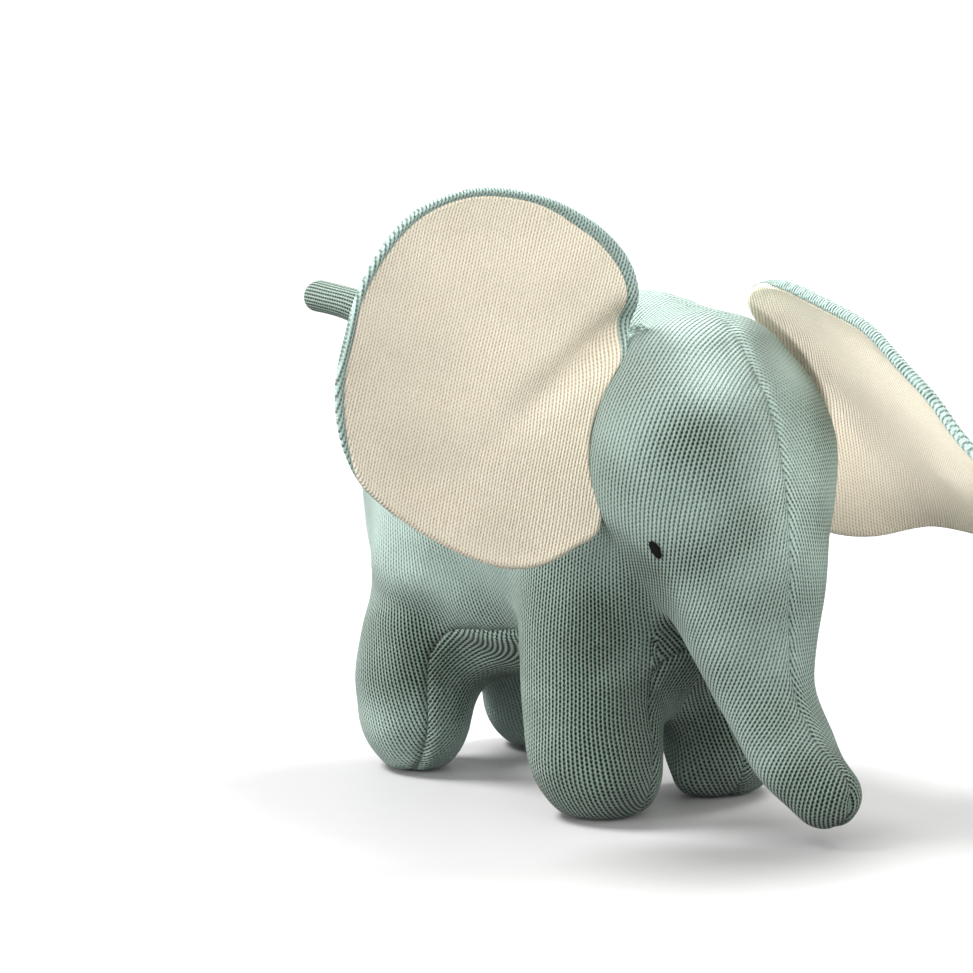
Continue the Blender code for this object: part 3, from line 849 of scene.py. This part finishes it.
def stitched_eye(name, side):
    """Satin stitch: threads laid side by side across an oval, over a low pad."""
    centre = onto(body_distance, np.array([[side * EYE[0], EYE[1], EYE[2]]], float), 3)
    normal = gradient_of(body_distance, centre)[0]
    normal /= np.linalg.norm(normal)
    centre = centre[0] + normal * 0.3
    tall_way = np.array([side * 0.1, -0.3, 1.0])
    tall_way -= normal * (tall_way @ normal)
    tall_way /= np.linalg.norm(tall_way)
    wide_way = np.cross(normal, tall_way)
    rng = np.random.default_rng(5)
    across = np.linspace(-1, 1, 9)
    arch = np.sqrt(np.maximum(1 - across ** 2, 0))
    threads = []
    for at in np.linspace(-0.94, 0.94, EYE_THREADS):
        half = EYE_HALF[1] * math.sqrt(1 - at ** 2) + 0.25 + rng.uniform(-0.12, 0.12)
        lean = rng.uniform(-0.1, 0.1)
        line = centre + np.outer(across * half, wide_way)
        line += np.outer(at * EYE_HALF[0] + across * lean, tall_way)
        line += np.outer(arch * math.sqrt(1 - 0.6 * at ** 2) - 0.35, normal)
        threads.append(tube("strand", thread(line, EYE_THREAD_RADIUS)))
    return joined(name, threads)


def sink_filling(obj):
    """Make the body's blank its stuffing, a little inside the knit, with a lumpy surface."""
    apply_modifier(obj, "SUBSURF", levels=1, render_levels=1)
    points = coords(obj) - normals(obj) * FILL_DEPTH
    points -= normals(obj) * (FILL_LUMPS * waves(points, 16, 21))[:, None]
    set_coords(obj, stood(points, 2.8, 2.0))


# ---------------------------------------------------------------- materials
class Graph:
    """Short calls for building the nodes of a material or of the world."""

    def __init__(self, owner):
        owner.use_nodes = True
        self.owner = owner
        self.tree = owner.node_tree
        self.shader = self.tree.nodes.get("Principled BSDF")

    def put(self, socket, value):
        if isinstance(value, bpy.types.NodeSocket):
            self.tree.links.new(value, socket)
        else:
            socket.default_value = value

    def fill(self, node, **inputs):
        """Set or link a node's inputs by name, with _ for a space."""
        for key, value in inputs.items():
            self.put(node.inputs[key.replace("_", " ")], value)

    def node(self, kind, settings=None, **inputs):
        made = self.tree.nodes.new(kind)
        for key, value in (settings or {}).items():
            setattr(made, key, value)
        self.fill(made, **inputs)
        return made

    def math(self, operation, *values):
        made = self.node("ShaderNodeMath", {"operation": operation})
        for socket, value in zip(made.inputs, values):
            self.put(socket, value)
        return made.outputs[0]

    def vector(self, operation, *values):
        made = self.node("ShaderNodeVectorMath", {"operation": operation})
        for socket, value in zip(made.inputs, values):
            self.put(socket, value)
        return made.outputs["Value" if operation == "DOT_PRODUCT" else "Vector"]

    def mix(self, factor, a, b):
        made = self.node("ShaderNodeMix", {"data_type": "RGBA"}, Factor=factor)
        self.put(made.inputs[6], a)
        self.put(made.inputs[7], b)
        return made.outputs[2]

    def noise(self, place, scale, detail, output="Fac"):
        return self.node("ShaderNodeTexNoise", Vector=place, Scale=scale, Detail=detail).outputs[output]

    def bump(self, height, depth):
        """depth is in millimetres."""
        return self.node("ShaderNodeBump", Height=height, Distance=depth * 0.001, Strength=1.0).outputs[0]


def rgb(colour):
    """sRGB bytes to a linear colour."""
    linear = [((c / 255 + 0.055) / 1.055) ** 2.4 if c > 10 else c / 255 / 12.92 for c in colour]
    return tuple(linear) + (1.0,)


def knit_relief(g, uv, wale, course, stretch):
    """(pit beside each stitch, height of its cord, gap between stitches) on a map in millimetres."""
    place = g.vector("MULTIPLY_ADD", g.noise(uv, 0.022, 1.0, "Color"), (3.0, 2.5, 0), uv)
    place = g.vector("MULTIPLY_ADD", g.noise(uv, 1.3, 2.0, "Color"), (0.5, 0.6, 0), place)
    parts = g.node("ShaderNodeSeparateXYZ", Vector=place)
    column = g.math("DIVIDE", parts.outputs[0], wale / 2)
    row = g.math("DIVIDE", parts.outputs[1], course)

    nearest = g.math("ROUND", column)
    beside = g.math("ABSOLUTE", g.math("SUBTRACT", column, nearest))
    slant = g.math("MULTIPLY", beside, 0.5)
    turn = g.math("MULTIPLY_ADD", nearest, 0.5, row)
    phase = g.math("ABSOLUTE", g.math("SUBTRACT", g.math("FRACT", g.math("SUBTRACT", turn, slant)), 0.5))
    wide = g.math("MULTIPLY_ADD", stretch, 0.16, 0.17)
    tall = g.math("MULTIPLY_ADD", stretch, 0.10, 0.32)
    radius = g.math("SQRT", g.math("ADD", g.math("POWER", g.math("DIVIDE", beside, wide), 2.0),
                                   g.math("POWER", g.math("DIVIDE", phase, tall), 2.0)))
    pit = g.node("ShaderNodeMapRange", {"interpolation_type": "SMOOTHSTEP"}, Value=radius,
                 From_Min=0.35, From_Max=1.45, To_Min=1.0, To_Max=0.0).outputs[0]

    slope = g.math("POWER", g.math("MULTIPLY_ADD", beside, -2, 1), 2.0)
    cord = g.math("SQRT", g.math("SUBTRACT", 1, slope))

    strand = g.math("FLOOR", column)
    lean = g.math("MULTIPLY", g.math("COSINE", g.math("MULTIPLY", strand, math.pi)), 1.5)
    across = g.math("SUBTRACT", column, strand)
    along = g.math("MULTIPLY_ADD", strand, 0.5, row)
    stitch = g.math("FRACT", g.math("MULTIPLY_ADD", lean, across, along))
    between = g.math("MULTIPLY", g.math("ABSOLUTE", g.math("SUBTRACT", stitch, 0.5)), 2.0)
    return pit, cord, g.math("POWER", between, 3.0)


def knit_material(name, yarn, shade, gap, wale, course, depth, hole_shade=1.0, opened_and_shaded=False):
    """Stocking stitch on the piece's Knit map in millimetres: cords of yarn with a gap beside each stitch.

    The gap colour is painted shade in the pits, the furrows beside the cords and the gaps between stitches.
    When opened, the mesh's attribute is read, from 0 where the knit is slack to 1 where it is stretched; it
    also marks the low, shaded parts that painted shade darkens.
    """
    g = Graph(bpy.data.materials.new(name))
    uv = g.node("ShaderNodeUVMap", {"uv_map": "Knit"}).outputs["UV"]
    stretch = g.node("ShaderNodeAttribute", {"attribute_name": "open_and_shade"}).outputs["Fac"] if opened_and_shaded else 0.5
    pit, cord, between = knit_relief(g, uv, wale, course, stretch)
    furrow = g.math("SUBTRACT", 1, cord)
    fibres = g.noise(uv, 3.4, 4.0)
    height = g.math("MULTIPLY_ADD", between, -0.4, g.math("SUBTRACT", cord, g.math("MULTIPLY", pit, 0.7)))
    height = g.math("MULTIPLY_ADD", fibres, 0.55, height)
    uneven = g.math("MULTIPLY_ADD", g.noise(uv, 0.42, 1.0), 0.9, 0.55)
    # painted shade: the pits, furrows and gaps between stitches are darkened towards the gap colour, more
    # where the knit is open or marked as shaded
    furrow_shade = g.math("MULTIPLY_ADD", furrow, 0.36, g.math("MULTIPLY", between, 0.26))
    opening_and_shade = g.math("MULTIPLY_ADD", stretch, 0.95, 0.25)
    dark = g.math("MULTIPLY", g.math("MULTIPLY_ADD", pit, uneven, furrow_shade), opening_and_shade)
    dark = g.node("ShaderNodeClamp", Value=g.math("MULTIPLY", dark, hole_shade)).outputs[0]
    patches = g.noise(uv, 0.05, 2.0)
    tone = g.mix(g.math("MULTIPLY", g.math("ADD", fibres, patches), 0.5), rgb(shade), rgb(yarn))
    # partly real stretch, partly painted shade: stretched and low, shaded parts get darker, greener yarn
    if opened_and_shaded:
        tone = g.mix(g.math("MULTIPLY", stretch, 0.7), tone, rgb(STRETCHED_AND_SHADED_YARN))
    g.fill(g.shader, Base_Color=g.mix(dark, tone, rgb(gap)),
           Roughness=g.math("MULTIPLY_ADD", fibres, 0.2, 0.8), Sheen_Weight=0.25, Sheen_Roughness=0.4,
           Specular_IOR_Level=0.12, Normal=g.bump(height, depth))
    return g.owner


def plain_material(name, light, dark, scale, roughness, depth, stretch=(1, 1, 1)):
    """Loose fibres or smooth thread: noise drawn out along one way, in the row's frame."""
    g = Graph(bpy.data.materials.new(name))
    place = g.vector("MULTIPLY", g.node("ShaderNodeTexCoord").outputs["Object"], stretch)
    strands = g.noise(place, scale, 5.0)
    g.fill(g.shader, Base_Color=g.mix(strands, rgb(dark), rgb(light)),
           Roughness=g.math("MULTIPLY_ADD", strands, 0.15, roughness),
           Specular_IOR_Level=0.2, Normal=g.bump(strands, depth))
    return g.owner


# ---------------------------------------------------------------- stage
def facing(way):
    """The turn that points a camera or a lamp along the way."""
    return way.to_track_quat("-Z", "Y").to_euler()


def camera():
    scene = bpy.context.scene
    scene.view_settings.view_transform = "Standard"
    scene.camera = link("camera", bpy.data.cameras.new("camera"))
    scene.camera.location = CAMERA_PLACE
    scene.camera.rotation_euler = facing(CAMERA_AIM - CAMERA_PLACE)
    scene.camera.data.lens = CAMERA_LENS
    scene.camera.data.sensor_width = CAMERA_SENSOR


def paper_floor():
    """White paper, which gives less light back to the toy than it shows."""
    bm = bmesh.new()
    bmesh.ops.create_grid(bm, x_segments=1, y_segments=1, size=60)
    floor = object_from("floor", bm)
    g = Graph(bpy.data.materials.new("floor_paper"))
    grain = g.noise(g.node("ShaderNodeTexCoord").outputs["Object"], 60, 3.0)
    seen = g.node("ShaderNodeLightPath").outputs["Is Camera Ray"]
    g.fill(g.shader, Base_Color=g.mix(seen, (FLOOR_BOUNCE,) * 3 + (1,), g.mix(grain, *PAPER)), Roughness=0.6)
    floor.data.materials.append(g.owner)


def studio():
    """A white background that lights the toy more from low in front than from above."""
    world = bpy.data.worlds.new("studio")
    bpy.context.scene.world = world
    g = Graph(world)
    g.tree.nodes.clear()
    way = g.node("ShaderNodeTexCoord").outputs["Generated"]
    towards = g.vector("DOT_PRODUCT", way, WORLD_BRIGHT_SIDE)
    dim, bright = WORLD_STRENGTH
    light = g.node("ShaderNodeMapRange", Value=towards, From_Min=-1.0, From_Max=1.0,
                   To_Min=dim, To_Max=bright)
    seen = g.node("ShaderNodeLightPath").outputs["Is Camera Ray"]
    strength = g.node("ShaderNodeMix", Factor=seen, A=light.outputs[0], B=WORLD_SEEN).outputs[0]
    background = g.node("ShaderNodeBackground", Color=(1, 1, 1, 1), Strength=strength)
    g.node("ShaderNodeOutputWorld", Surface=background.outputs[0])


def lamps():
    for name, source, strength, angle in SUNS:
        lamp = link(name, bpy.data.lights.new(name, "SUN"))
        lamp.rotation_euler = facing(-Vector(source))
        lamp.data.energy = strength
        lamp.data.angle = math.radians(angle)
    for name, source, target, watts, cone in SPOTS:
        lamp = link(name, bpy.data.lights.new(name, "SPOT"))
        lamp.location = source
        lamp.rotation_euler = facing(Vector(target) - Vector(source))
        lamp.data.energy = watts
        lamp.data.spot_size = math.radians(cone)
        lamp.data.spot_blend = 0.8
        lamp.data.shadow_soft_size = 0.025


# ---------------------------------------------------------------- build
def build_body(sage):
    """The two side panels and the belly gusset. Gives back the blank that their stuffing is made from."""
    panel, gusset, blank = body_panels()
    flatten(panel)
    for obj in (panel, gusset):
        apply_modifier(obj, "SUBSURF", levels=2, render_levels=2, uv_smooth="PRESERVE_BOUNDARIES")
        set_coords(obj, onto(body_distance, coords(obj), 1))
    seams = np.vstack([boundary_points(panel), boundary_points(gusset)])
    seams = np.vstack([seams, seams * [-1, 1, 1]])
    other = mirrored(panel, "side_panel_right_skin")
    for obj, node in ((panel, "side_panel_left"), (other, "side_panel_right"), (gusset, "belly_gusset")):
        mark_open_and_shade(obj)
        stuff(obj, seams)
        hem(obj)
        dress(obj, sage, node)
        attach(obj, "body")
    return blank


def build_ear(label, side, pose, outline, seam, creases, layers):
    """A sage layer behind and a cream one in front, sewn together round their edge."""
    place, out = ear_mapper(side, pose)
    loop = ear_loop(place, outline)
    seam_at = seam_line(loop, seam)
    hinge = place(np.zeros((1, 2)), np.zeros(1))[0]
    for kind, toward, material, slot in layers:
        name = "ear_%s_%s" % (label, kind)
        obj = ear_layer(name + "_knit", place, loop, seam_at, toward, creases)
        if name == "ear_right_back":
            obj = joined(name + "_knit_and_ends", [obj] + loose_ends(place, side))
        dress(obj, material, name, flip=side > 0)
        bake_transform(obj)


def build_tail(sage, fluff):
    """A knitted tube with a rounded tip, sewn to the rump, and its stuffing."""
    root, along, _, _ = tail_axis()
    rings, distances = tail_rings(0.0, -4.0, TAIL_SIDES)
    around = TAIL_COLUMNS * SAGE_WALE
    skin = tube("tail_knit", rooted(rings, along), lambda row, k: (around * k / TAIL_SIDES, distances[row]),
                close=(False, True))
    set_open_and_shade(skin, np.full(len(skin.data.vertices), TAIL_OPEN_AND_SHADE))
    core = tube("tail_filling", tail_rings(TAIL_FILL_DEPTH, 1.0, 20)[0])
    for obj, material, node, slot in ((skin, sage, "tail_skin", "sage_knit"),
                                      (core, fluff, "tail_stuffing", "stuffing")):
        dress(obj, material, node)
        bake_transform(obj)


def build():
    camera()
    paper_floor()
    studio()
    lamps()
    # each gap colour is the painted shade in the knit's pits and furrows
    sage = knit_material("sage_knit", yarn=(208, 231, 223), shade=(178, 203, 194), gap=(5, 18, 8),
                         wale=SAGE_WALE, course=1.9, depth=1.0, opened_and_shaded=True)
    sage_ear = knit_material("sage_knit_ear", yarn=(196, 220, 212), shade=(160, 187, 177), gap=(10, 30, 24),
                             wale=3.0, course=1.9, depth=0.8, hole_shade=0.8)
    cream = knit_material("cream_knit", yarn=(250, 243, 226), shade=(240, 230, 206), gap=(170, 142, 96),
                          wale=2.9, course=1.75, depth=0.5, hole_shade=0.6)
    black = plain_material("black_thread", light=(5, 5, 5), dark=(2, 2, 2), scale=900.0, roughness=0.6,
                           depth=0.15, stretch=(1, 1, 0.3))
    fluff = plain_material("fibre_filling", light=(244, 244, 240), dark=(208, 208, 202), scale=260.0,
                           roughness=0.85, depth=1.0)

    blank = build_body(sage)
    layers = (("back", -1, sage_ear, "sage_knit"), ("front", 1, cream, "cream_knit"))
    build_ear("right", -1, RIGHT_EAR_POSE, RIGHT_EAR_OUTLINE, RIGHT_SEAM, RIGHT_FOLDS, layers)
    build_ear("left", 1, LEFT_EAR_POSE, LEFT_EAR_OUTLINE, LEFT_SEAM, LEFT_FOLDS, layers)
    build_tail(sage, fluff)
    for label, side in (("right", -1), ("left", 1)):
        eye = stitched_eye("eye_%s_stitches" % label, side)
        dress(eye, black, "eye_" + label)
        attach(eye, "body")
    sink_filling(blank)
    dress(blank, fluff, "body_stuffing")
    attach(blank, "body")


build()
